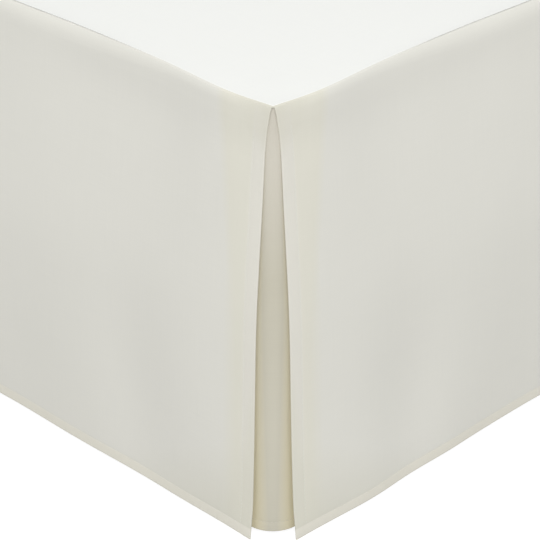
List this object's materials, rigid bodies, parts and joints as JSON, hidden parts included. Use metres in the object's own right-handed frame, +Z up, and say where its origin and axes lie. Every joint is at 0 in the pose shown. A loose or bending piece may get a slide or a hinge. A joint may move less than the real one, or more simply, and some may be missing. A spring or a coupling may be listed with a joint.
{
  "type": "bed skirt on a bed base",
  "caption": "Tailored bed skirt with split corners: a flat deck on a box base with legs, straight drops falling almost to the floor and underlays behind the corner pleats.",
  "frame": {"origin": "on the floor under the middle of the whole footprint", "axes": "+Y towards the head of the bed, +X to the right as seen from the foot, +Z up"},
  "size_m": [1.5848, 2.0614, 0.386],
  "materials": {
    "skirt_cloth": "ivory plain-woven cotton blend, matt, turned and stitched hems",
    "deck_cloth": "white plain-woven cloth, matt",
    "base_cover": "plain woven base cover, stone grey",
    "leg_wood": "dark stained wood, satin"
  },
  "bodies": {
    "root": {"deck": "deck_cloth", "drop_foot": "skirt_cloth", "drop_left": "skirt_cloth", "drop_right": "skirt_cloth", "underlay_left": "skirt_cloth", "underlay_right": "skirt_cloth", "base_box": "base_cover", "leg_foot_left": "leg_wood", "leg_foot_right": "leg_wood", "leg_middle_left": "leg_wood", "leg_middle_right": "leg_wood", "leg_head_left": "leg_wood", "leg_head_right": "leg_wood"}
  },
  "joints": []
}
